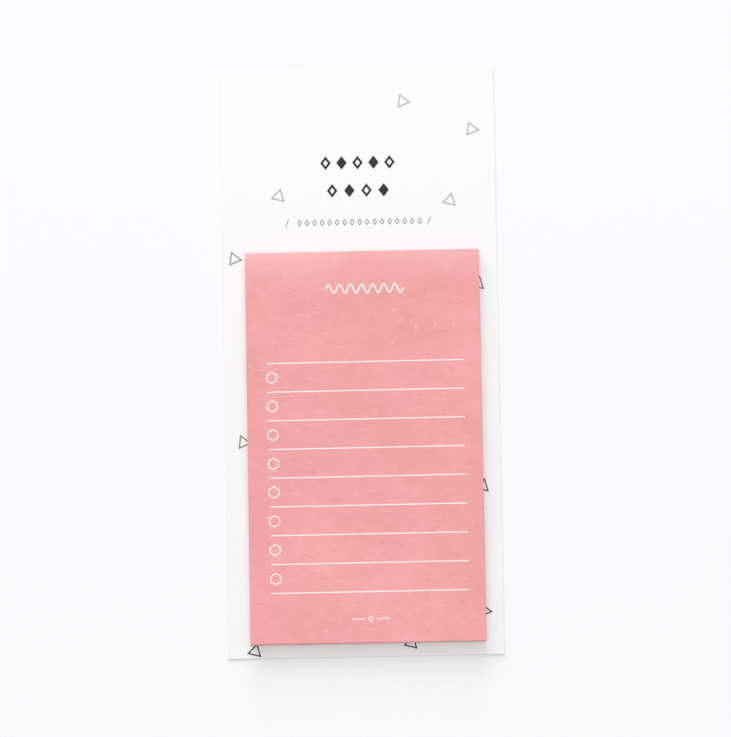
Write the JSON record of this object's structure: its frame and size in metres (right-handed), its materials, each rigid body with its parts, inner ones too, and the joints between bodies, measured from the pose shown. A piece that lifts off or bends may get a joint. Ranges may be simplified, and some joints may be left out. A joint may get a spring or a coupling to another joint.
{
  "type": "daily planner pad",
  "caption": "Block of pink tear-off planner sheets with ruled lines and check boxes, stuck by its head to a long flat white card.",
  "frame": {"origin": "centre of the backing card's back face, which lies on the table", "axes": "+X to the right of the printed face, +Y towards the card's head, +Z out of the printed face"},
  "size_m": [0.07, 0.15, 0.0035],
  "materials": {
    "coated_card": "smooth matt coated white board",
    "adhesive": "soft translucent removable adhesive",
    "pink_paper": "uncoated soft pink paper with fine fibres"
  },
  "bodies": {
    "root": {"backing_card": "coated_card", "adhesive_strip": "adhesive", "sheet_pad": "pink_paper"}
  },
  "joints": []
}
